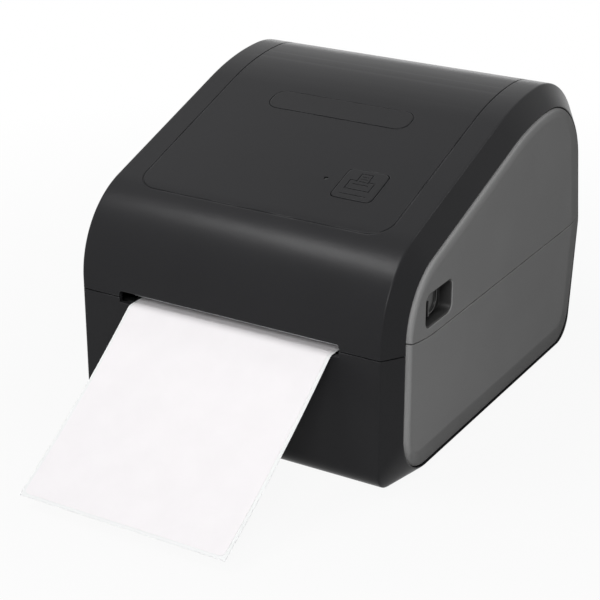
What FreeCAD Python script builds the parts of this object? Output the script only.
"""Desktop thermal label printer with a hinged cover, built as separate pieces.

Frame: millimetres, +Z up, the table at Z = 0, X = 0 on the mid-plane and the front at -Y.
"""
import FreeCAD, Part
import math
import os
from FreeCAD import Vector

# Driving dimensions of the case
half_width = 90.0
panel_pillow = 1.8
chamfer_width = 7.2
chamfer_inset = 11.0
front_y = -110.0
rear_y = 108.4
height = 154.2
peak_y = 49.8
slope_deg = 18.58
slope_below_top = 8.97
bend_below_top = 108.2
rear_lean_deg = 8.9
base_lean_deg = 6.3
seam_z = 70.0
seam_gap = 0.4
foot_height = 3.0
front_bottom_r = 10.0
rear_bottom_r = 12.0
wall = 2.5
fit_gap = 0.3
running_gap = 0.05
weld = 0.5

# Side panels
panel_gap = 0.45
panel_seam_z = 72.5
seam_rise = 3.3
seam_rise_start_y = -72.0
rim_bottom_inset = 2.2
rim_front_corner_r = 24.0
rim_rear_corner_r = 14.0
plateau_front_inset = 2.5
plateau_top_inset = 4.0
plateau_rear_inset = 21.0
plateau_bottom_inset = 18.0
plateau_corner_r = 9.0

# Label exit
slot_overhang = 5.0
slot_top = 73.2
slot_bottom = 67.3
slot_corner_r = 3.0

# Label strip and roll
web_z = 68.0
web_thickness = 0.3
label_half_width = 55.0
roll_y = 28.0
roll_z = 62.0
roll_r = 45.0
core_r = 14.7
core_wall = 2.0
web_guide_y = -78.0
web_guide_r = 12.0
lip_bend_r = 5.0
lip_turn_deg = 40.0
droop_r = 674.0
droop_deg = 8.8

# Platen and its drive
platen_y = -96.0
platen_r = 7.0
platen_overhang = 2.0
shaft_r = 3.0
bush_r = 5.0
bush_flange_r = 7.0
bush_flange = 1.2
gear_module = 0.8
platen_teeth = 24
idler_teeth = 36
motor_teeth = 12
idler_angle_deg = -55.0
motor_angle_deg = -20.0
gear_width = 4.0
gear_backlash = 0.12
motor_r = 17.5
motor_length = 22.0
motor_edge_r = 1.5
motor_shaft_depth = 8.0
motor_shaft_r = 1.0
idler_stud_r = 2.0
stud_head = 1.0

# Media tray
tray_clearance = 9.2
tray_wall = 2.0
tray_front_y = -104.0
tray_rear_y = 90.0
tray_top_z = 66.0
deck_z = 54.0
deck_rear_y = -28.0
tray_floor_z = 5.8
tray_back_z = 46.0

# Roll guides
guide_thickness = 4.0
guide_hub_r = 12.2
guide_hub_length = 8.0
guide_hub_chamfer = 1.5
guide_width = 24.0
rack_height = 3.0
rack_width = 5.0
rack_reach = 90.0
rack_module = 1.0
rack_pinion_teeth = 14
pinion_stud_r = 2.0

# Label sensor
sensor_y = -68.0
sensor_rail_r = 2.0
sensor_width = 16.0
sensor_depth = 12.0
sensor_height = 10.0
sensor_eye_r = 1.5
sensor_eye_depth = 1.0

# Cover hinge
hinge_y = 101.2
hinge_z = 66.5
hinge_r = 6.8
hinge_scoop = 1.6
hinge_inset = 13.0
hinge_ear = 12.4
hinge_pin_r = 2.0
hinge_pin_reach = 14.0

# Latches
latch_y = (-84.0, -60.0)
latch_z = (77.5, 93.5)
latch_corner_r = 3.0
latch_cup_wall = 0.8
latch_cup_depth = 7.0
latch_cup_proud = 0.4
tongue_y = (-80.0, -69.2)
tongue_z = 81.7
tongue_corner_r = 6.0
tongue_thickness = 4.0
rib_width = 1.2
rib_height = 1.0
latch_travel = 2.8
hook_inset = 6.0
hook_width = 3.0
hook_y = (-79.0, -73.0)
hook_toe_y = -68.0
hook_bottom_z = 57.0
hook_toe = 3.0
catch_overlap = 2.2
catch_thickness = 0.8
leaf_length = 16.0
leaf_drop = 6.0
lip_width = 6.0

# Print head
head_y = (-103.0, -88.0)
head_overhang = 1.0
head_gap = 0.3
head_height = 5.5
heater_width = 3.0
heater_height = 0.6
bracket_thickness = 2.0
bracket_overhang = 7.0
head_pivot_y = -72.0
head_pivot_z = 84.0
head_pin_r = 2.0
frame_below_slope = 45.23
frame_plate = 2.5
cheek_shift = 0.4
head_spring_x = 35.0
head_spring_y = -92.0
head_spring_r = 3.6
spring_wire_r = 0.4
head_spring_turns = 7
spring_seat_r = 5.0
latch_spring_r = 1.6
latch_spring_turns = 3
latch_wire_r = 0.25
latch_spring_drop = 12.0
frame_front = 3.0
frame_rear = 12.0
cheek_front = 8.0
cheek_drop = 6.0

# Button, lamp and name plate on the slope
button_x = 39.1
button_y = -54.1
button_width = 21.4
button_length = 22.0
button_corner_r = 3.0
button_cap = 3.0
button_proud = 0.3
button_travel = 1.0
flange_width = 1.5
flange_thickness = 1.2
button_stem_r = 2.5
board_depth = 10.0
board_thickness = 1.6
board_offset = 10.0
button_board_size = (62.0, 34.0)
board_corner_r = 2.0
key_switch_size = 6.0
key_switch_corner_r = 0.5
plunger_r = 1.7
plunger_height = 1.0
post_r = 2.2
post_places = (26.0, 13.0)
lamp_x = 20.5
lamp_y = -53.4
lamp_r = 1.1
plate_y = -4.0
plate_half_length = 38.5
plate_width = 13.4
plate_corner_r = 5.5
plate_thickness = 0.8

# Feet, bottom plate, boards and sockets
foot_r = 7.0
foot_inset = 13.0
foot_y = (-86.0, 82.0)
bottom_opening_inset = 10.0
bottom_opening_y = (-92.0, -36.0)
plate_ledge = 3.5
vent_count = 9
vent_pitch = 6.0
vent_length = 48.0
vent_width = 2.0
foot_chamfer = 0.6
chip_size = 16.0
chip_height = 1.6
chip_shift = 2.0
plug_length = 24.0
plug_width = 7.0
plug_height = 6.0
plug_margin = 14.0
plug_inset = 9.0
store_r = 4.0
store_height = 12.0
store_inset = 24.0
store_from_front = 18.0
io_board_z = (12.0, 44.0)
inlet_bore_r = 3.2
inlet_pin_r = 1.0
usb_mouth = (8.6, 8.0)
usb_tongue = (5.6, 3.0)
screw_head_r = 2.6
screw_r = 1.4
screw_length = 6.0
socket_z = (16.0, 27.0)
inlet_x = -34.0
inlet_width = 9.0
usb_x = -8.0
usb_width = 12.0
switch_x = 40.0
switch_width = 21.0
switch_z = (13.0, 28.0)
rocker_deg = 9.0

# Sizes that follow from the driving ones
rim_x = half_width - panel_pillow
skin_x = rim_x - chamfer_width
side_in = rim_x - 2 * wall
side_out = rim_x - wall
slope_height = height - slope_below_top
front_bend_r = height - bend_below_top
frame_plate_z = slope_height - frame_below_slope
tray_half_width = side_in - tray_clearance
slot_half_width = label_half_width + slot_overhang
platen_half_length = label_half_width + platen_overhang
head_half_length = label_half_width + head_overhang
bracket_half_length = label_half_width + bracket_overhang
hook_x = (side_in - hook_inset, side_in - hook_inset + hook_width)
cheek_x = (bracket_half_length + hook_x[0]) / 2 + cheek_shift
hinge_half_length = skin_x - hinge_inset
foot_x = skin_x - foot_inset
bottom_opening_x = foot_x - bottom_opening_inset
slope = math.radians(slope_deg)
rear_lean = math.radians(rear_lean_deg)
base_lean = math.radians(base_lean_deg)
base_z = foot_height
floor_z = base_z + wall
platen_z = web_z - web_thickness / 2 - fit_gap - platen_r
gear_x = -(tray_half_width + bush_flange + fit_gap)


def box(x, y, z):
    """Box between pairs of low and high coordinates."""
    return Part.makeBox(x[1] - x[0], y[1] - y[0], z[1] - z[0], Vector(x[0], y[0], z[0]))


def rod(r, start, end):
    """Solid round bar from one point to another."""
    along = Vector(*end) - Vector(*start)
    return Part.makeCylinder(r, along.Length, Vector(*start), along)


def both(shape):
    """The shape and its mirror image across the mid-plane."""
    return [shape, shape.mirror(Vector(0, 0, 0), Vector(1, 0, 0))]


def mirrored(shape):
    return shape.mirror(Vector(0, 0, 0), Vector(1, 0, 0))


def unit(y, z):
    size = math.hypot(y, z)
    return (y / size, z / size)


def loop(x, steps):
    """Closed wire in the plane at x. A step is a (y, z) point, or an arc as (middle, end)."""
    edges = []
    last = steps[0]
    for step in steps[1:] + [steps[0]]:
        if isinstance(step[0], tuple):
            points = [Vector(x, *p) for p in (last, step[0], step[1])]
            edges.append(Part.Arc(*points).toShape())
            last = step[1]
        else:
            edges.append(Part.LineSegment(Vector(x, *last), Vector(x, *step)).toShape())
            last = step
    return Part.Wire(edges)


def bend(centre, r, before, after):
    """Arc step about a centre between two outward directions."""
    middle = unit(before[0] + after[0], before[1] + after[1])
    return (
        (centre[0] + r * middle[0], centre[1] + r * middle[1]),
        (centre[0] + r * after[0], centre[1] + r * after[1]),
    )


def extrude_x(wire_at_x, x):
    """Solid from a wire maker, between two x positions."""
    return Part.Face(wire_at_x(x[0])).extrude(Vector(x[1] - x[0], 0, 0))


def rounded_plate(width, length, thickness, r):
    """Plate centred on the origin in X and Y, from Z = 0 down, with round corners."""
    plate = Part.makeBox(width, length, thickness, Vector(-width / 2, -length / 2, -thickness))
    upright = [e for e in plate.Edges if abs(e.tangentAt(e.FirstParameter).z) > 0.9]
    return plate.makeFillet(r, upright)


def on_slope(shape, x, y, depth=0.0):
    """Places a shape made about the origin on the slope at x, y, sunk by a depth."""
    placed = shape.copy()
    placed.rotate(Vector(0, 0, 0), Vector(1, 0, 0), slope_deg)
    z = slope_height + math.tan(slope) * y
    placed.translate(Vector(x, y + depth * math.sin(slope), z - depth * math.cos(slope)))
    return placed


# Side view of the cover: front, bend, slope, top round, rear bend and rear
slope_out = (-math.sin(slope), math.cos(slope))
rear_out = (math.cos(rear_lean), math.sin(rear_lean))
base_out = (math.cos(base_lean), -math.sin(base_lean))
top_r = (math.sin(slope) * peak_y - math.cos(slope) * (height - slope_height)) / (1 - math.cos(slope))


def cover_steps(front, top, rear, low):
    """Outline of the cover drawn in from the skin at the front, top and rear, down to z = low."""
    bend_r = front_bend_r - max(front, top)
    bend_y = front_y + front + bend_r
    slope_drop = (top + bend_r - math.sin(slope) * bend_y) / math.cos(slope)
    bend_c = (bend_y, slope_height - slope_drop)
    top_c = (peak_y, height - top_r)
    rear_foot = (rear_y - rear * rear_out[0], seam_z - rear * rear_out[1])
    back = rear_out[0] * (rear_foot[0] - peak_y) - rear_out[1] * (height - top - rear_foot[1])
    back_r = back / (1 - rear_out[1])
    back_c = (peak_y, height - top - back_r)
    low_rear_y = rear_foot[0] - math.tan(rear_lean) * (low - rear_foot[1])
    return [
        (front_y + front, low),
        (front_y + front, bend_c[1]),
        bend(bend_c, bend_r, (-1, 0), slope_out),
        (top_c[0] + (top_r - top) * slope_out[0], top_c[1] + (top_r - top) * slope_out[1]),
        bend(top_c, top_r - top, slope_out, (0, 1)),
        bend(back_c, back_r, (0, 1), rear_out),
        (low_rear_y, low),
    ]


def base_steps(front, bottom, rear, front_r, rear_r, high):
    """Outline of the base drawn in from its skin, with its bottom corner radii, up to z = high."""
    low = base_z + bottom
    rear_foot = (rear_y - rear * base_out[0], seam_z - rear * base_out[1])
    front_c = (front_y + front + front_r, low + front_r)
    rear_cy = rear_foot[0] + (math.sin(base_lean) * (low + rear_r - rear_foot[1]) - rear_r) / base_out[0]
    rear_c = (rear_cy, low + rear_r)
    high_rear_y = rear_foot[0] + math.tan(base_lean) * (high - rear_foot[1])
    return [
        (front_y + front, high),
        (front_y + front, front_c[1]),
        bend(front_c, front_r, (-1, 0), (0, -1)),
        (rear_c[0], low),
        bend(rear_c, rear_r, (0, -1), base_out),
        (high_rear_y, high),
    ]


def loft(sections):
    """Ruled solid through (x, steps) sections."""
    return Part.makeLoft([loop(x, steps) for x, steps in sections], True, True)


def cover_block(front, chamfer_from, side, low):
    """Cover envelope drawn in by a wall, with its corner chamfers ending at the side."""
    ratio = chamfer_inset / chamfer_width
    edge = front + ratio * (side - chamfer_from)
    narrow = cover_steps(edge, edge, edge, low)
    wide = cover_steps(front, front, front, low)
    return loft([(-side, narrow), (-chamfer_from, wide), (chamfer_from, wide), (side, narrow)])


def base_block(inset, chamfer_from, side, high):
    """Base envelope drawn in by a wall, with its corner chamfers ending at the side."""
    share = (side - chamfer_from) / chamfer_width
    edge = inset + share * chamfer_inset
    low = inset + share * rim_bottom_inset
    front_r = front_bottom_r + share * (rim_front_corner_r - front_bottom_r) - inset
    rear_r = rear_bottom_r + share * (rim_rear_corner_r - rear_bottom_r) - inset
    narrow = base_steps(edge, low, edge, front_r, rear_r, high)
    wide = base_steps(inset, inset, inset, front_bottom_r - inset, rear_bottom_r - inset, high)
    return loft([(-side, narrow), (-chamfer_from, wide), (chamfer_from, wide), (side, narrow)])


def slot_block(low, high, corners):
    """Cutter for the label exit through the front wall."""
    depth = 4 * wall
    cutter = box((-slot_half_width, slot_half_width), (front_y - depth, front_y + depth), (low, high))
    if not corners:
        return cutter
    across = [e for e in cutter.Edges if abs(e.tangentAt(e.FirstParameter).y) > 0.9]
    upper = [e for e in across if e.CenterOfMass.z > (low + high) / 2]
    return cutter.makeFillet(slot_corner_r, upper)


def seam_block(z_shift, upper):
    """Half space above or below the seam of the side panels, which rises in a curve at the front."""
    run = seam_rise_start_y - (front_y + chamfer_inset)
    rise_r = (run * run + seam_rise * seam_rise) / (2 * seam_rise)
    start = (seam_rise_start_y, panel_seam_z + z_shift)
    reach = 1.5 * run
    turn = math.asin(reach / rise_r)
    end = (start[0] - reach, start[1] + rise_r * (1 - math.cos(turn)))
    middle = (start[0] - rise_r * math.sin(turn / 2), start[1] + rise_r * (1 - math.cos(turn / 2)))
    far = 2 * height if upper else -height
    steps = [(end[0], far), (2 * rear_y, far), (2 * rear_y, start[1]), start, (middle, end)]
    return extrude_x(lambda x: loop(x, steps), (0, 2 * half_width))


def hinge_bar(r, half_length):
    return rod(r, (-half_length, hinge_y, hinge_z), (half_length, hinge_y, hinge_z))


def hinge_well():
    """Room in the base for the cover's rear edge as it turns, narrowing in the corner chamfers."""
    r = hinge_r + hinge_scoop
    start = Vector(skin_x, hinge_y, hinge_z)
    narrowing = Part.makeCone(r, hinge_scoop / 2, chamfer_width, start, Vector(1, 0, 0))
    return hinge_bar(r, skin_x).fuse(both(narrowing))


def panel_layers(rim, plateau, rim_gap):
    """Side panel: a plate in the rim, swelling to a flat plateau with soft bevels."""
    plate = extrude_x(lambda x: loop(x, rim), (side_out + rim_gap, rim_x))
    return plate.fuse(loft([(rim_x, rim), (half_width, plateau)])).removeSplitter()


def latch_opening(grow, x):
    """Rounded block of the latch recess, grown by an amount."""
    block = box(x, (latch_y[0] - grow, latch_y[1] + grow), (latch_z[0] - grow, latch_z[1] + grow))
    along = [e for e in block.Edges if abs(e.tangentAt(e.FirstParameter).x) > 0.9]
    return block.makeFillet(latch_corner_r + grow, along)


def upper_panel():
    rim_in = chamfer_inset + panel_gap
    low = seam_z
    rim = cover_steps(rim_in, rim_in, rim_in, low)
    flat = (rim_in + plateau_front_inset, rim_in + plateau_top_inset, rim_in + plateau_rear_inset)
    panel = panel_layers(rim, cover_steps(*flat, low), fit_gap)
    panel = panel.cut(seam_block(seam_gap / 2, False))
    return panel.cut(latch_opening(0, (0, 2 * half_width)))


def lower_panel():
    rim_in = chamfer_inset + panel_gap
    high = panel_seam_z + 2 * seam_rise
    rim_low = rim_bottom_inset + panel_gap
    corners = (rim_front_corner_r - panel_gap, rim_rear_corner_r - panel_gap)
    rim = base_steps(rim_in, rim_low, rim_in, *corners, high)
    flat = (rim_in + plateau_front_inset, rim_low + plateau_bottom_inset, rim_in + plateau_rear_inset)
    panel = panel_layers(rim, base_steps(*flat, plateau_corner_r, plateau_corner_r, high), fit_gap)
    panel = panel.cut(seam_block(-seam_gap / 2, True))
    above = box((0, 2 * half_width), (2 * front_y, 2 * rear_y), (seam_z - seam_gap, 2 * seam_z))
    inside = extrude_x(lambda x: loop(x, cover_steps(rim_in, rim_in, rim_in, 0)), (0, 2 * half_width))
    return panel.cut(above.cut(inside)).cut(hinge_well())


def board_posts():
    """Posts under the slope that carry the button board."""
    posts = []
    for dx in (-1, 1):
        for dy in (-1, 1):
            foot = Vector(dx * post_places[0], dy * post_places[1], -board_depth)
            post = Part.makeCylinder(post_r, board_depth - wall + weld, foot)
            posts.append(on_slope(post, button_x - board_offset, button_y))
    return posts


def cover_skin():
    low = seam_z + seam_gap / 2
    skin = cover_block(0, skin_x, rim_x, low)
    skin = skin.cut(cover_block(wall, skin_x - 1, side_in, low - 2 * wall))
    pocket = cover_steps(chamfer_inset, chamfer_inset, chamfer_inset, low - 2 * wall)
    pocket = extrude_x(lambda x: loop(x, pocket), (side_out, 2 * rim_x))
    cuts = both(pocket) + both(latch_opening(fit_gap, (side_in - wall, rim_x)))
    cuts.append(slot_block(low - wall, slot_top, True))
    hole_size = (button_width + 2 * fit_gap, button_length + 2 * fit_gap)
    button_hole = rounded_plate(*hole_size, 6 * wall, button_corner_r)
    cuts.append(on_slope(button_hole, button_x, button_y, -2 * wall))
    lamp_hole = Part.makeCylinder(lamp_r + running_gap, 6 * wall, Vector(0, 0, -3 * wall))
    cuts.append(on_slope(lamp_hole, lamp_x, lamp_y))
    pocket_size = (2 * (plate_half_length + panel_gap / 3), plate_width + panel_gap)
    plate_pocket = rounded_plate(*pocket_size, plate_thickness + wall, plate_corner_r)
    cuts.append(on_slope(plate_pocket, 0, plate_y, -wall))
    ear_zone = hinge_bar(hinge_r + 2 * fit_gap, hinge_half_length + hinge_ear + 2 * fit_gap)
    cuts.append(ear_zone.cut(hinge_bar(2 * hinge_r, hinge_half_length)))
    skin = skin.cut(Part.makeCompound(cuts))
    barrel = hinge_bar(hinge_r, hinge_half_length).cut(hinge_bar(hinge_pin_r + running_gap, half_width))
    skin = skin.fuse([barrel] + board_posts()).removeSplitter()
    return skin


def foot_places():
    return [(sx * foot_x, y) for sx in (-1, 1) for y in foot_y]


def screw_places():
    inset = 2.2 * screw_head_r
    across = bottom_opening_x - inset
    along = (bottom_opening_y[0] + inset, bottom_opening_y[1] - inset)
    return [(sx * across, y) for sx in (-1, 1) for y in along]


def socket_hole(x, width, z, grow):
    """Cutter through the rear wall round a socket."""
    return box(
        (x - width / 2 - grow, x + width / 2 + grow), (tray_rear_y, 2 * rear_y), (z[0] - grow, z[1] + grow)
    )


def centred_block(x, z, size, y):
    """Block centred on x and z, with its width and height given as a pair."""
    return box((x - size[0] / 2, x + size[0] / 2), y, (z - size[1] / 2, z + size[1] / 2))


def base_shell():
    high = seam_z - seam_gap / 2
    shell = base_block(0, skin_x, rim_x, high)
    shell = shell.cut(base_block(wall, skin_x - 1, side_in, high + 2 * wall))
    corners = (rim_front_corner_r, rim_rear_corner_r)
    pocket = base_steps(chamfer_inset, rim_bottom_inset, chamfer_inset, *corners, high + 2 * wall)
    pocket = extrude_x(lambda x: loop(x, pocket), (side_out, 2 * rim_x))
    opening_x = (-bottom_opening_x, bottom_opening_x)
    opening = box(opening_x, bottom_opening_y, (base_z - wall, floor_z + wall))
    cuts = both(pocket) + [opening, slot_block(slot_bottom, high + wall, False)]
    cuts.append(hinge_well())
    cuts.append(socket_hole(inlet_x, inlet_width, socket_z, fit_gap))
    cuts.append(socket_hole(usb_x, usb_width, socket_z, fit_gap))
    cuts.append(socket_hole(switch_x, switch_width, switch_z, fit_gap))
    shell = shell.cut(Part.makeCompound(cuts))
    rim = box(
        (-bottom_opening_x - wall, bottom_opening_x + wall),
        (bottom_opening_y[0] - wall, bottom_opening_y[1] + wall),
        (floor_z - weld, floor_z + wall),
    )
    inner = box(
        (-bottom_opening_x + plate_ledge, bottom_opening_x - plate_ledge),
        (bottom_opening_y[0] + plate_ledge, bottom_opening_y[1] - plate_ledge),
        (base_z, floor_z + 2 * wall),
    )
    plate_room = box(opening_x, bottom_opening_y, (base_z - wall, floor_z + fit_gap))
    rim = rim.cut(inner).cut(plate_room)
    bosses = []
    holes = []
    for x, y in screw_places():
        bosses.append(rod(2.2 * screw_r, (x, y, floor_z + fit_gap), (x, y, floor_z + 2 * wall)))
        holes.append(rod(screw_r, (x, y, base_z), (x, y, floor_z + 2 * wall)))
    shell = shell.fuse([rim] + bosses + hinge_ears()).removeSplitter()
    return shell.cut(Part.makeCompound(holes))


def hinge_ears():
    """Ears in the rear corners of the base that hold the hinge pins."""
    start = hinge_half_length + fit_gap
    ear = rod(hinge_r, (start, hinge_y, hinge_z), (start + hinge_ear, hinge_y, hinge_z))
    across = (start, start + hinge_ear)
    web_low = hinge_z - 2.6 * hinge_r
    web = box(across, (hinge_y - hinge_r, hinge_y + hinge_scoop), (web_low, hinge_z))
    root_z = hinge_z - hinge_r - 1.5 * hinge_scoop
    web = web.fuse(box(across, (hinge_y - hinge_r, rear_y), (web_low, root_z)))
    reach = extrude_x(
        lambda x: loop(x, base_steps(wall / 2, wall / 2, wall / 2, front_bottom_r, rear_bottom_r, seam_z)),
        across,
    )
    ear = ear.fuse(web.common(reach)).removeSplitter()
    bore = rod(hinge_pin_r, (start, hinge_y, hinge_z), (start + hinge_ear, hinge_y, hinge_z))
    return both(ear.cut(bore))


def hinge_pins():
    end = hinge_half_length + fit_gap + hinge_ear
    pin = rod(hinge_pin_r, (hinge_half_length - hinge_pin_reach, hinge_y, hinge_z), (end, hinge_y, hinge_z))
    return Part.makeCompound(both(pin))


def bottom_plate():
    plate = box(
        (-bottom_opening_x + fit_gap, bottom_opening_x - fit_gap),
        (bottom_opening_y[0] + fit_gap, bottom_opening_y[1] - fit_gap),
        (base_z, floor_z),
    )
    cuts = []
    for x, y in screw_places():
        cuts.append(rod(screw_r, (x, y, base_z), (x, y, floor_z)))
        cuts.append(rod(screw_head_r + running_gap, (x, y, base_z), (x, y, base_z + wall / 2)))
    vent_x = (-vent_length / 2, vent_length / 2)
    for i in range(vent_count):
        y = sum(bottom_opening_y) / 2 + (i - (vent_count - 1) / 2) * vent_pitch
        vent_y = (y - vent_width / 2, y + vent_width / 2)
        cuts.append(box(vent_x, vent_y, (base_z - wall, floor_z + wall)))
    return plate.cut(Part.makeCompound(cuts))


def base_screws():
    screws = []
    for x, y in screw_places():
        head = rod(screw_head_r, (x, y, base_z + fit_gap), (x, y, base_z + wall / 2))
        stem = rod(screw_r, (x, y, base_z + wall / 2), (x, y, base_z + screw_length))
        screws.append(head.fuse(stem).removeSplitter())
    return Part.makeCompound(screws)


def rubber_feet():
    feet = []
    for x, y in foot_places():
        foot = rod(foot_r, (x, y, 0), (x, y, foot_height))
        lower = [e for e in foot.Edges if e.CenterOfMass.z < 0.01 and len(e.Vertexes) == 1]
        feet.append(foot.makeChamfer(foot_chamfer, lower))
    return Part.makeCompound(feet)


def gear_disc(teeth, module, width, bore_r, turn_deg):
    """Spur gear about the X axis from x = 0, its first tooth turned from +Y towards +Z."""
    pitch_r = teeth * module / 2
    base_r = pitch_r * math.cos(math.radians(20))
    outer_r = pitch_r + 0.9 * module
    root_r = pitch_r - 1.2 * module

    def flank(r):
        ratio = max(r / base_r, 1.0)
        roll = math.sqrt(ratio * ratio - 1)
        return roll - math.atan(roll)

    half_tooth = math.pi / (2 * teeth) - gear_backlash / (2 * pitch_r)
    points = []
    levels = [root_r] + [max(root_r, base_r) + i * (outer_r - max(root_r, base_r)) / 4 for i in range(5)]
    for tooth in range(teeth):
        centre = math.radians(turn_deg) + tooth * 2 * math.pi / teeth
        for side in (-1, 1):
            rise = levels if side < 0 else levels[::-1]
            for r in rise:
                angle = centre + side * (half_tooth + flank(pitch_r) - flank(r))
                points.append(Vector(0, r * math.cos(angle), r * math.sin(angle)))
    face = Part.Face(Part.makePolygon(points + [points[0]]))
    disc = face.extrude(Vector(width, 0, 0))
    return disc.cut(Part.makeCylinder(bore_r, width, Vector(0, 0, 0), Vector(1, 0, 0)))


# Gear centres, from the platen down to the motor
idler_r = gear_module * (platen_teeth + idler_teeth) / 2
idler_c = (
    platen_y + idler_r * math.cos(math.radians(idler_angle_deg)),
    platen_z + idler_r * math.sin(math.radians(idler_angle_deg)),
)
motor_run = gear_module * (idler_teeth + motor_teeth) / 2
motor_c = (
    idler_c[0] + motor_run * math.cos(math.radians(motor_angle_deg)),
    idler_c[1] + motor_run * math.sin(math.radians(motor_angle_deg)),
)
gear_span = (gear_x - gear_width, gear_x)


def media_tray():
    """Tray between the side walls of the base: front deck, roll well and bearing walls."""
    inner = tray_half_width - tray_wall
    side = box((inner, tray_half_width), (tray_front_y, tray_rear_y), (tray_floor_z, tray_top_z))
    deck = box((-inner, inner), (platen_y + platen_r + wall, deck_rear_y), (deck_z - tray_wall, deck_z))
    riser = box((-inner, inner), (deck_rear_y, deck_rear_y + tray_wall), (tray_floor_z, deck_z))
    floor = box((-inner, inner), (deck_rear_y, tray_rear_y), (tray_floor_z, tray_floor_z + tray_wall))
    back = box((-inner, inner), (tray_rear_y - tray_wall, tray_rear_y), (tray_floor_z, tray_back_z))
    tray = deck.fuse(both(side) + [riser, floor, back]).removeSplitter()
    clear = base_block(wall + fit_gap, skin_x - 1, side_in - fit_gap, 2 * seam_z)
    far = 2 * half_width
    cuts = [rod(bush_r + running_gap, (-far, platen_y, platen_z), (far, platen_y, platen_z))]
    cuts.append(rod(sensor_rail_r, (-far, sensor_y, sensor_z), (far, sensor_y, sensor_z)))
    cuts.append(rod(4 * motor_shaft_r, (-far, *motor_c), (0, *motor_c)))
    return tray.common(clear).cut(Part.makeCompound(cuts))


sensor_z = deck_z + wall + sensor_height / 2


def platen_bushes():
    inner = tray_half_width - tray_wall
    end = tray_half_width + bush_flange
    sleeve = rod(bush_r, (inner, platen_y, platen_z), (tray_half_width, platen_y, platen_z))
    flange = rod(bush_flange_r, (tray_half_width, platen_y, platen_z), (end, platen_y, platen_z))
    bush = sleeve.fuse(flange).removeSplitter()
    bore = rod(shaft_r + running_gap, (0, platen_y, platen_z), (2 * half_width, platen_y, platen_z))
    return Part.makeCompound(both(bush.cut(bore)))


def platen_shaft():
    right = tray_half_width + bush_flange + fit_gap
    return rod(shaft_r, (gear_span[0], platen_y, platen_z), (right, platen_y, platen_z))


def platen_rubber():
    ends = ((-platen_half_length, platen_y, platen_z), (platen_half_length, platen_y, platen_z))
    return rod(platen_r, *ends).cut(rod(shaft_r, *ends))


def gear_at(teeth, centre, bore_r, turn_deg):
    gear = gear_disc(teeth, gear_module, gear_width, bore_r, turn_deg)
    gear.translate(Vector(gear_span[0], centre[0], centre[1]))
    return gear


def mesh_turn(teeth, driver_teeth, driver_turn, angle):
    """Turn that puts a gap of the driven gear on the driver's tooth along the line of centres."""
    past_tooth = (angle - driver_turn) * driver_teeth / teeth
    return angle + 180 + past_tooth + 180 / teeth


idler_turn = mesh_turn(idler_teeth, platen_teeth, 0, idler_angle_deg)
motor_turn = mesh_turn(motor_teeth, idler_teeth, idler_turn, motor_angle_deg)


def platen_gear():
    return gear_at(platen_teeth, (platen_y, platen_z), shaft_r, 0)


def idler_gear():
    return gear_at(idler_teeth, idler_c, idler_stud_r + running_gap, idler_turn)


def idler_stud():
    head_x = gear_span[0] - fit_gap
    stem = rod(idler_stud_r, (-tray_half_width, *idler_c), (head_x, *idler_c))
    head = rod(1.7 * idler_stud_r, (head_x, *idler_c), (head_x - stud_head, *idler_c))
    return stem.fuse(head).removeSplitter()


motor_face_x = -(tray_half_width - tray_wall)


def motor_pinion():
    gear = gear_at(motor_teeth, motor_c, motor_shaft_r / 2, motor_turn)
    shaft = rod(motor_shaft_r, (gear_span[0], *motor_c), (motor_face_x + motor_shaft_depth, *motor_c))
    return gear.fuse(shaft).removeSplitter()


def drive_motor():
    end = motor_face_x + motor_length
    can = rod(motor_r, (motor_face_x, *motor_c), (end, *motor_c))
    rims = [e for e in can.Edges if abs(e.CenterOfMass.x - end) < 0.01 and len(e.Vertexes) == 1]
    can = can.makeFillet(motor_edge_r, rims)
    bore_end = motor_face_x + motor_shaft_depth + fit_gap
    return can.cut(rod(motor_shaft_r + running_gap, (motor_face_x, *motor_c), (bore_end, *motor_c)))


def label_roll():
    ends = ((-label_half_width, roll_y, roll_z), (label_half_width, roll_y, roll_z))
    return rod(roll_r, *ends).cut(rod(core_r, *ends))


def roll_core():
    ends = ((-label_half_width, roll_y, roll_z), (label_half_width, roll_y, roll_z))
    return rod(core_r, *ends).cut(rod(core_r - core_wall, *ends))


def ribbon(start, heading_deg, moves):
    """Outline of a thin band in side view: moves are lengths, or (radius, turn in degrees)."""
    half = web_thickness / 2
    place = start
    heading = math.radians(heading_deg)
    top = []
    low = []

    def shifted(point, angle, by):
        return Vector(0, point[0] - by * math.sin(angle), point[1] + by * math.cos(angle))

    for move in moves:
        if isinstance(move, tuple):
            r, turn = move[0], math.radians(move[1])
            side = math.copysign(1, turn)
            centre = (place[0] - side * r * math.sin(heading), place[1] + side * r * math.cos(heading))
            angles = [heading, heading + turn / 2, heading + turn]
            turns = [(side * r * math.sin(a), side * r * math.cos(a)) for a in angles]
            places = [(centre[0] + across, centre[1] - up) for across, up in turns]
            for edges, by in ((top, half), (low, -half)):
                edges.append(Part.Arc(*[shifted(p, a, by) for p, a in zip(places, angles)]).toShape())
            place, heading = places[2], angles[2]
        else:
            end = (place[0] + move * math.cos(heading), place[1] + move * math.sin(heading))
            for edges, by in ((top, half), (low, -half)):
                run = (shifted(place, heading, by), shifted(end, heading, by))
                edges.append(Part.LineSegment(*run).toShape())
            place = end
    ends = []
    for at, last in ((0, False), (-1, True)):
        points = [edges[at].Vertexes[-1 if last else 0].Point for edges in (top, low)]
        ends.append(Part.LineSegment(*points).toShape())
    return Part.Wire(Part.__sortEdges__(top + low + ends))


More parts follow.
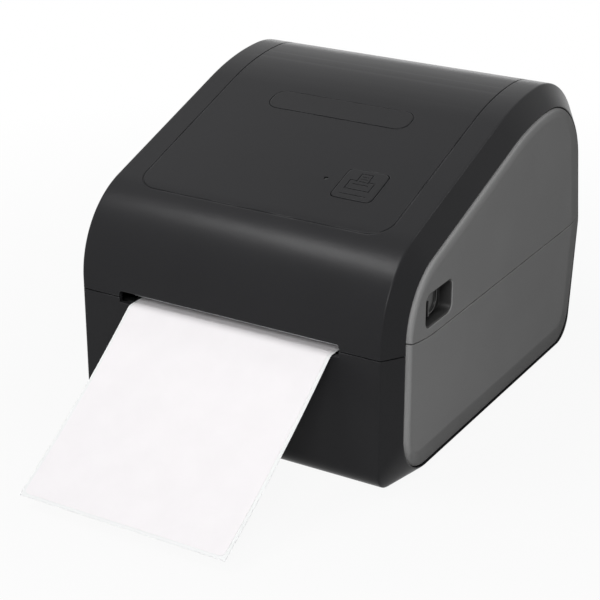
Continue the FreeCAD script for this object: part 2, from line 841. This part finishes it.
def web_climb():
    """Slope of the web from the guide rib up to the roll, with the straight run's length."""
    guide = (web_guide_y, web_z + web_guide_r)
    paper_r = roll_r + fit_gap + web_thickness / 2
    across = (roll_y - guide[0], roll_z - guide[1])
    reach = math.hypot(*across)
    climb = math.atan2(across[1], across[0]) + math.asin((web_guide_r + paper_r) / reach)
    run = math.sqrt(reach * reach - (web_guide_r + paper_r) ** 2)
    start = (roll_y - paper_r * math.sin(climb), roll_z + paper_r * math.cos(climb))
    return start, math.degrees(climb), run


def label_strip():
    start, climb, run = web_climb()
    to_lip = web_guide_y - front_y
    moves = [
        run,
        (web_guide_r, -climb),
        to_lip,
        (lip_bend_r, lip_turn_deg),
        (droop_r, -droop_deg),
    ]
    face = Part.Face(ribbon(start, 180 + climb, moves))
    strip = face.extrude(Vector(2 * label_half_width, 0, 0))
    strip.translate(Vector(-label_half_width, 0, 0))
    return strip


rack_pitch_r = rack_module * rack_pinion_teeth / 2
rack_z = (tray_floor_z + tray_wall + fit_gap, tray_floor_z + tray_wall + fit_gap + rack_height)


def rack_bar(start_x, end_x):
    """Toothed bar on the +Y side of the guide pinion, with a gap at x = 0."""
    root = roll_y + rack_pitch_r + 1.2 * rack_module
    bar = box((start_x, end_x), (root, root + rack_width), rack_z)
    pitch = math.pi * rack_module
    lean = math.tan(math.radians(20))
    half = pitch / 4 - gear_backlash / 2
    foot = half + 1.2 * rack_module * lean
    tip = half - 0.9 * rack_module * lean
    tip_y = roll_y + rack_pitch_r - 0.9 * rack_module
    first = math.ceil((start_x + foot) / pitch - 0.5)
    last = math.floor((end_x - foot) / pitch - 0.5)
    teeth = []
    for i in range(first, last + 1):
        x = (i + 0.5) * pitch
        corners = [(x - foot, root), (x - tip, tip_y), (x + tip, tip_y), (x + foot, root), (x - foot, root)]
        face = Part.Face(Part.makePolygon([Vector(a, b, rack_z[0]) for a, b in corners]))
        teeth.append(face.extrude(Vector(0, 0, rack_height)))
    return bar.fuse(teeth).removeSplitter()


def guide_right():
    """Roll guide: upright with a hub in the roll's core and a rack under the roll."""
    inner = label_half_width + fit_gap
    outer = inner + guide_thickness
    upright = box((inner, outer), (roll_y - guide_width / 2, roll_y + guide_width / 2), (rack_z[0], roll_z))
    head = rod(guide_width / 2, (inner, roll_y, roll_z), (outer, roll_y, roll_z))
    hub = rod(guide_hub_r, (inner - guide_hub_length, roll_y, roll_z), (inner, roll_y, roll_z))
    nose = [e for e in hub.Edges if abs(e.CenterOfMass.x - (inner - guide_hub_length)) < 0.01]
    hub = hub.makeChamfer(guide_hub_chamfer, [e for e in nose if len(e.Vertexes) == 1])
    return upright.fuse([head, hub, rack_bar(outer - rack_reach, outer)]).removeSplitter()


def guide_left():
    turned = guide_right()
    turned.rotate(Vector(0, roll_y, 0), Vector(0, 0, 1), 180)
    return turned


def guide_pinion():
    pinion = gear_disc(rack_pinion_teeth, rack_module, rack_height, pinion_stud_r + running_gap, 0)
    pinion.rotate(Vector(0, 0, 0), Vector(0, 1, 0), -90)
    pinion.translate(Vector(0, roll_y, rack_z[0]))
    return pinion


def pinion_stud():
    top = rack_z[1] + fit_gap
    stem = rod(pinion_stud_r, (0, roll_y, tray_floor_z + tray_wall), (0, roll_y, top))
    head = rod(2 * pinion_stud_r, (0, roll_y, top), (0, roll_y, top + stud_head))
    return stem.fuse(head).removeSplitter()


def sensor_rail():
    return rod(sensor_rail_r, (-tray_half_width, sensor_y, sensor_z), (tray_half_width, sensor_y, sensor_z))


def label_sensor():
    half = sensor_height / 2
    body = box(
        (-sensor_width / 2, sensor_width / 2),
        (sensor_y - sensor_depth / 2, sensor_y + sensor_depth / 2),
        (sensor_z - half, sensor_z + half),
    )
    top = sensor_z + half
    eye = rod(sensor_eye_r, (0, sensor_y, top - sensor_eye_depth), (0, sensor_y, top))
    far = half_width
    bore = rod(sensor_rail_r + running_gap, (-far, sensor_y, sensor_z), (far, sensor_y, sensor_z))
    return body.cut(bore).cut(eye)


def main_board():
    """Control board on the bosses of the bottom, with its larger components."""
    low = floor_z + 2 * wall
    margin = 2 * wall
    board = box(
        (-bottom_opening_x + margin / 2, bottom_opening_x - margin / 2),
        (bottom_opening_y[0] + margin / 2, bottom_opening_y[1] - margin / 2),
        (low, low + board_thickness),
    )
    top = low + board_thickness
    middle = sum(bottom_opening_y) / 2 + chip_shift
    chip_y = (middle - chip_size / 2, middle + chip_size / 2)
    chip = box((-chip_size / 2, chip_size / 2), chip_y, (top, top + chip_height))
    plug_end = bottom_opening_x - plug_margin
    plug_y = bottom_opening_y[1] - plug_inset
    plug_x = (plug_end - plug_length, plug_end)
    socket = box(plug_x, (plug_y - plug_width, plug_y), (top, top + plug_height))
    store_x = bottom_opening_x - store_inset
    store_y = bottom_opening_y[0] + store_from_front
    store = rod(store_r, (store_x, store_y, top), (store_x, store_y, top + store_height))
    return board.fuse([chip, socket, store]).removeSplitter()


def io_board():
    across = (inlet_x - inlet_width, usb_x + usb_width)
    return box(across, (tray_rear_y, tray_rear_y + board_thickness), io_board_z)


socket_back = tray_rear_y + board_thickness
socket_face = rear_y - math.tan(base_lean) * (seam_z - socket_z[0])


def dc_inlet():
    """Round power socket with its centre pin."""
    z = sum(socket_z) / 2
    body = socket_hole(inlet_x, inlet_width, socket_z, 0)
    body = body.common(box((-half_width, half_width), (socket_back, socket_face), socket_z))
    bore = rod(inlet_bore_r, (inlet_x, socket_back + wall, z), (inlet_x, socket_face, z))
    pin = rod(inlet_pin_r, (inlet_x, socket_back + wall, z), (inlet_x, socket_face - wall, z))
    return body.cut(bore).fuse(pin).removeSplitter()


def usb_socket():
    """Square data socket with its contact tongue."""
    z = sum(socket_z) / 2
    body = box((usb_x - usb_width / 2, usb_x + usb_width / 2), (socket_back, socket_face), socket_z)
    mouth = centred_block(usb_x, z, usb_mouth, (socket_back + wall, socket_face))
    tongue = centred_block(usb_x, z, usb_tongue, (socket_back + wall, socket_face - wall))
    return body.cut(mouth).fuse(tongue).removeSplitter()


rocker_half = (7.6, 5.2)
rocker_depth = 5.6
rocker_pin_r = 1.0
rocker_pin_end = 1.2
rocker_back = 1.5
rocker_dip = 1.3
rocker_seat = 6.0
rocker_room = 5.0
rocker_c = (switch_x, socket_face - rocker_seat, sum(switch_z) / 2)


def switch_housing():
    """Frame of the power switch, with the rocker's pivot holes."""
    body = socket_hole(switch_x, switch_width, switch_z, 0)
    body = body.common(box((0, 2 * half_width), (socket_back, socket_face), switch_z))
    side = 1.35 * rocker_half[0]
    hollow = box(
        (switch_x - side, switch_x + side),
        (rocker_c[1] - rocker_room, 2 * rear_y),
        (rocker_c[2] - rocker_half[1] - fit_gap, rocker_c[2] + rocker_half[1] + fit_gap),
    )
    pivot = rod(rocker_pin_r + running_gap, (*rocker_c[:2], switch_z[0]), (*rocker_c[:2], switch_z[1]))
    return body.cut(hollow).cut(pivot)


def power_rocker():
    """Two-sided key on a vertical pivot, tipped to one side."""
    w, h = rocker_half
    low = -rocker_back
    dip = (0, rocker_depth - rocker_dip)
    corners = [(-w, low), (-w, rocker_depth), dip, (w, rocker_depth), (w, low), (-w, low)]
    face = Part.Face(Part.makePolygon([Vector(a, b, -h) for a, b in corners]))
    key = face.extrude(Vector(0, 0, 2 * h))
    pin_half = h + fit_gap + rocker_pin_end
    key = key.fuse(rod(rocker_pin_r, (0, 0, -pin_half), (0, 0, pin_half))).removeSplitter()
    key.rotate(Vector(0, 0, 0), Vector(0, 0, 1), rocker_deg)
    key.translate(Vector(*rocker_c))
    return key


def cover_frame():
    """Inner frame of the cover: cross plate, cheeks for the head and seats of the latch springs."""
    reach = side_in
    plate_y = (latch_y[0] - frame_front, head_pivot_y + frame_rear)
    top = frame_plate_z + frame_plate
    cross = box((-reach, reach), plate_y, (frame_plate_z, top))
    nose_y = (head_spring_y - spring_seat_r, plate_y[1])
    nose = box((-bracket_half_length, bracket_half_length), nose_y, (frame_plate_z, top))
    cheek_y = (head_pivot_y - cheek_front, plate_y[1])
    cheek_z = (head_pivot_z - cheek_drop, frame_plate_z)
    cheek = box((cheek_x, cheek_x + frame_plate), cheek_y, cheek_z)
    seat = box(
        (cheek_x, hook_x[1]), (latch_seat_y - 1, latch_seat_y), (latch_spring_z - 3, frame_plate_z)
    )
    frame = cross.fuse([nose] + both(cheek) + both(seat)).removeSplitter()
    pivot = (head_pivot_y, head_pivot_z)
    pin = rod(head_pin_r, (-half_width, *pivot), (half_width, *pivot))
    return frame.cut(pin).common(cover_block(wall, skin_x - 1, side_in, 0))


latch_seat_y = latch_y[0] - 2.0
latch_spring_z = frame_plate_z - latch_spring_drop


def head_pin():
    end = cheek_x + frame_plate
    return rod(head_pin_r, (-end, head_pivot_y, head_pivot_z), (end, head_pivot_y, head_pivot_z))


head_low = web_z + web_thickness / 2 + head_gap
bracket_low = head_low + head_height


def thermal_head():
    """Heat sink bar with the raised heater line over the platen."""
    across = (-head_half_length, head_half_length)
    line_y = (platen_y - heater_width / 2, platen_y + heater_width / 2)
    bar = box(across, head_y, (head_low + heater_height, bracket_low))
    line = box(across, line_y, (head_low, head_low + heater_height))
    return bar.fuse(line).removeSplitter()


def head_bracket():
    """Bent plate that carries the thermal head, with ears on the pivot pin."""
    top = bracket_low + bracket_thickness
    ear_r = 2.2 * head_pin_r
    plate = box((-bracket_half_length, bracket_half_length), (head_y[0], head_pivot_y), (bracket_low, top))
    ear = box(
        (bracket_half_length - bracket_thickness, bracket_half_length),
        (head_pivot_y - 2 * ear_r, head_pivot_y + ear_r),
        (bracket_low, head_pivot_z),
    )
    eye = rod(
        ear_r,
        (bracket_half_length - bracket_thickness, head_pivot_y, head_pivot_z),
        (bracket_half_length, head_pivot_y, head_pivot_z),
    )
    bracket = plate.fuse(both(ear) + both(eye)).removeSplitter()
    pivot = (head_pivot_y, head_pivot_z)
    bore = rod(head_pin_r + running_gap, (-half_width, *pivot), (half_width, *pivot))
    return bracket.cut(bore)


def arc_through(start, heading, end):
    """Circular edge that leaves a point along a heading and reaches another point."""
    chord = end - start
    aside = chord - heading * chord.dot(heading)
    if aside.Length < 1e-6:
        return Part.LineSegment(start, end).toShape()
    aside.normalize()
    r = chord.dot(chord) / (2 * chord.dot(aside))
    centre = start + aside * r
    middle = (start - centre) + (end - centre)
    middle.normalize()
    return Part.Arc(start, centre + middle * r, end).toShape()


def biarc(start, heading, end, last_heading):
    """Two tangent arcs from one point and heading to another."""
    chord = end - start
    total = heading + last_heading
    spread = 2 * (1 - heading.dot(last_heading))
    reach = chord.dot(total)
    if spread < 1e-9:
        step = chord.dot(chord) / (4 * chord.dot(last_heading))
    else:
        step = (math.sqrt(reach * reach + spread * chord.dot(chord)) - reach) / spread
    joint = (start + end + (heading - last_heading) * step) * 0.5
    back = arc_through(end, last_heading * -1, joint)
    return [arc_through(start, heading, joint), back]


def coil_spring(r, wire_r, length, turns):
    """Open coil spring along +Z from the origin, with short square ends."""
    lead = 2 * wire_r
    rise = (length - 2 * lead) / (turns + 0.5)
    steps = 4 * turns + 2
    up = Vector(0, 0, 1)
    places = [Vector(r, 0, 0), Vector(r, 0, lead)]
    headings = [up, up]
    for i in range(1, steps):
        angle = i * math.pi / 2
        places.append(Vector(r * math.cos(angle), r * math.sin(angle), lead + i * rise / 4))
        heading = Vector(-r * math.sin(angle), r * math.cos(angle), rise / (2 * math.pi))
        headings.append(heading.normalize())
    last = steps * math.pi / 2
    for z in (length - lead, length):
        places.append(Vector(r * math.cos(last), r * math.sin(last), z))
        headings.append(up)
    edges = [Part.LineSegment(places[0], places[1]).toShape()]
    for i in range(1, len(places) - 2):
        edges += biarc(places[i], headings[i], places[i + 1], headings[i + 1])
    edges.append(Part.LineSegment(places[-2], places[-1]).toShape())
    path = Part.Wire(Part.__sortEdges__(edges))
    ring = Part.Wire(Part.makeCircle(wire_r, places[0], up))
    return path.makePipeShell([ring], True, False)


def head_springs():
    low = bracket_low + bracket_thickness + fit_gap
    spring = coil_spring(head_spring_r, spring_wire_r, frame_plate_z - low, head_spring_turns)
    spring.translate(Vector(head_spring_x, head_spring_y, low))
    return Part.makeCompound(both(spring))


def latch_spring():
    length = hook_y[0] - fit_gap - latch_seat_y
    spring = coil_spring(latch_spring_r, latch_wire_r, length, latch_spring_turns)
    spring.rotate(Vector(0, 0, 0), Vector(1, 0, 0), -90)
    spring.translate(Vector(sum(hook_x) / 2, latch_seat_y, latch_spring_z))
    return spring


cup_out = half_width - latch_cup_proud
cup_in = cup_out - latch_cup_depth
cup_gap = 0.1
stem_y = (hook_y[0] + 1.5, hook_y[1] - 0.5)
stem_z = (84.0, 90.0)


def latch_cup():
    """Dark well behind the side panel, with the slot for the slider's stem."""
    cup = latch_opening(-cup_gap, (cup_in, cup_out))
    hollow = latch_opening(-cup_gap - latch_cup_wall, (cup_in + latch_cup_wall, 2 * half_width))
    slot = box(
        (0, half_width),
        (stem_y[0] - latch_travel - fit_gap, stem_y[1] + fit_gap),
        (stem_z[0] - fit_gap, stem_z[1] + fit_gap),
    )
    return cup.cut(hollow).cut(slot)


def latch_slider():
    """Finger tongue in the cup, with a stem, a leg inside the case and a hook under the catch."""
    low_x = cup_in + latch_cup_wall + fit_gap
    top_z = latch_z[1] - cup_gap - latch_cup_wall - fit_gap
    tongue = box((low_x, low_x + tongue_thickness), tongue_y, (tongue_z, top_z))
    across = [e for e in tongue.Edges if abs(e.tangentAt(e.FirstParameter).x) > 0.9]
    middle = tongue.CenterOfMass
    rear = [e for e in across if e.CenterOfMass.y > middle.y]
    front = [e for e in across if e.CenterOfMass.y < middle.y]
    lower_rear = [e for e in rear if e.CenterOfMass.z < middle.z]
    upper_front = [e for e in front if e.CenterOfMass.z > middle.z]
    tongue = tongue.makeFillet(tongue_corner_r, lower_rear).makeFillet(latch_corner_r, upper_front)
    rib_x = low_x + tongue_thickness
    rib_y = (tongue_y[0], tongue_y[0] + rib_width)
    rib = box((rib_x, rib_x + rib_height), rib_y, (tongue_z, top_z - latch_corner_r))
    stem = box((hook_x[1], low_x), stem_y, stem_z)
    leg = box(hook_x, hook_y, (hook_bottom_z, stem_z[1] + 1))
    toe = box(hook_x, (hook_y[1], hook_toe_y), (hook_bottom_z, hook_bottom_z + hook_toe))
    return tongue.fuse([rib, stem, leg, toe]).removeSplitter()


def catch_springs():
    """Leaf springs on the tray walls whose lips hold the hooks down."""
    lip_z = hook_bottom_z + hook_toe + fit_gap
    lip_y = hook_toe_y - catch_overlap
    leaf_x = (tray_half_width, tray_half_width + catch_thickness)
    leaf_z = (lip_z - leaf_drop, lip_z + catch_thickness)
    leaf = box(leaf_x, (lip_y, lip_y + leaf_length), leaf_z)
    lip = box((leaf_x[0], hook_x[1]), (lip_y, lip_y + lip_width), (lip_z, lip_z + catch_thickness))
    return Part.makeCompound(both(leaf.fuse(lip).removeSplitter()))


tear_pitch = 2.0
tear_tooth = 1.2
tear_thickness = 0.8
tear_drop = 0.7
tear_margin = 3.0
tear_above = 1.8


def tear_bar():
    """Toothed steel strip behind the upper edge of the label exit."""
    y = front_y + wall
    half = slot_half_width - tear_margin
    tip = slot_top - tear_drop
    count = int(2 * half / tear_pitch)
    start = -count * tear_pitch / 2
    top = slot_top + tear_above
    corners = [(start, top), (start, tip + tear_tooth)]
    for i in range(count):
        corners.append((start + (i + 0.5) * tear_pitch, tip))
        corners.append((start + (i + 1) * tear_pitch, tip + tear_tooth))
    corners += [(-start, top), (start, top)]
    face = Part.Face(Part.makePolygon([Vector(a, y, b) for a, b in corners]))
    return face.extrude(Vector(0, tear_thickness, 0))


switch_height = 4.5


def feed_button():
    """Key cap in the slope with a flange under the skin and a stem over the switch."""
    cap = rounded_plate(button_width, button_length, button_cap + button_proud, button_corner_r)
    cap = on_slope(cap, button_x, button_y, -button_proud)
    flange_size = (button_width + 2 * flange_width, button_length + 2 * flange_width)
    flange = rounded_plate(*flange_size, flange_thickness, button_corner_r)
    flange = on_slope(flange, button_x, button_y, wall + fit_gap)
    stem_end = board_depth - switch_height - button_travel - fit_gap
    stem = Part.makeCylinder(button_stem_r, stem_end - wall, Vector(0, 0, -stem_end))
    return cap.fuse([flange, on_slope(stem, button_x, button_y)]).removeSplitter()


def button_board():
    """Small board under the slope with the key switch."""
    board = rounded_plate(*button_board_size, board_thickness, board_corner_r)
    board = on_slope(board, button_x - board_offset, button_y, board_depth)
    body_height = switch_height - plunger_height
    body = rounded_plate(key_switch_size, key_switch_size, body_height, key_switch_corner_r)
    body = on_slope(body, button_x, button_y, board_depth - body_height)
    plunger = Part.makeCylinder(plunger_r, plunger_height, Vector(0, 0, body_height - board_depth))
    return board.fuse([body, on_slope(plunger, button_x, button_y)]).removeSplitter()


def lamp_lens():
    lens = Part.makeCylinder(lamp_r, board_depth, Vector(0, 0, -board_depth))
    return on_slope(lens, lamp_x, lamp_y)


def name_plate():
    plate = rounded_plate(2 * plate_half_length, plate_width, plate_thickness, plate_corner_r)
    return on_slope(plate, 0, plate_y)


def motor_screw_places():
    return [(motor_c[0] + side * 0.8 * motor_r, motor_c[1]) for side in (-1, 1)]


def motor_screws():
    screws = []
    for place in motor_screw_places():
        head = rod(screw_head_r, (-tray_half_width, *place), (-tray_half_width - bush_flange, *place))
        stem = rod(screw_r, (-tray_half_width, *place), (motor_face_x + screw_length / 2, *place))
        screws.append(head.fuse(stem).removeSplitter())
    return Part.makeCompound(screws)


def with_screw_holes(shape):
    """Cuts the motor screws' holes."""
    holes = []
    for place in motor_screw_places():
        holes.append(rod(screw_r, (-tray_half_width, *place), (motor_face_x + screw_length / 2, *place)))
    return shape.cut(Part.makeCompound(holes))


PIECES = {
    "base_shell": base_shell,
    "bottom_plate": bottom_plate,
    "base_screws": base_screws,
    "rubber_feet": rubber_feet,
    "hinge_pins": hinge_pins,
    "lower_panel_right": lower_panel,
    "lower_panel_left": lambda: mirrored(lower_panel()),
    "media_tray": lambda: with_screw_holes(media_tray()),
    "platen_bushes": platen_bushes,
    "platen_shaft": platen_shaft,
    "platen_rubber": platen_rubber,
    "platen_gear": platen_gear,
    "idler_gear": idler_gear,
    "idler_stud": idler_stud,
    "motor_pinion": motor_pinion,
    "drive_motor": lambda: with_screw_holes(drive_motor()),
    "motor_screws": motor_screws,
    "label_roll": label_roll,
    "roll_core": roll_core,
    "label_strip": label_strip,
    "guide_right": guide_right,
    "guide_left": guide_left,
    "guide_pinion": guide_pinion,
    "pinion_stud": pinion_stud,
    "sensor_rail": sensor_rail,
    "label_sensor": label_sensor,
    "main_board": main_board,
    "io_board": io_board,
    "dc_inlet": dc_inlet,
    "usb_socket": usb_socket,
    "switch_housing": switch_housing,
    "power_rocker": power_rocker,
    "catch_springs": catch_springs,
    "cover_skin": cover_skin,
    "upper_panel_right": upper_panel,
    "upper_panel_left": lambda: mirrored(upper_panel()),
    "cover_frame": cover_frame,
    "head_pin": head_pin,
    "thermal_head": thermal_head,
    "head_bracket": head_bracket,
    "head_springs": head_springs,
    "latch_cup_right": latch_cup,
    "latch_cup_left": lambda: mirrored(latch_cup()),
    "latch_slider_right": latch_slider,
    "latch_slider_left": lambda: mirrored(latch_slider()),
    "latch_spring_right": latch_spring,
    "latch_spring_left": lambda: mirrored(latch_spring()),
    "tear_bar": tear_bar,
    "feed_button": feed_button,
    "button_board": button_board,
    "lamp_lens": lamp_lens,
    "name_plate": name_plate,
}


def main():
    os.makedirs("parts", exist_ok=True)
    for name, make in PIECES.items():
        shape = make()
        shape.exportStep(f"parts/{name}.step")
        print(name, len(shape.Solids), round(shape.Volume, 1))


main()
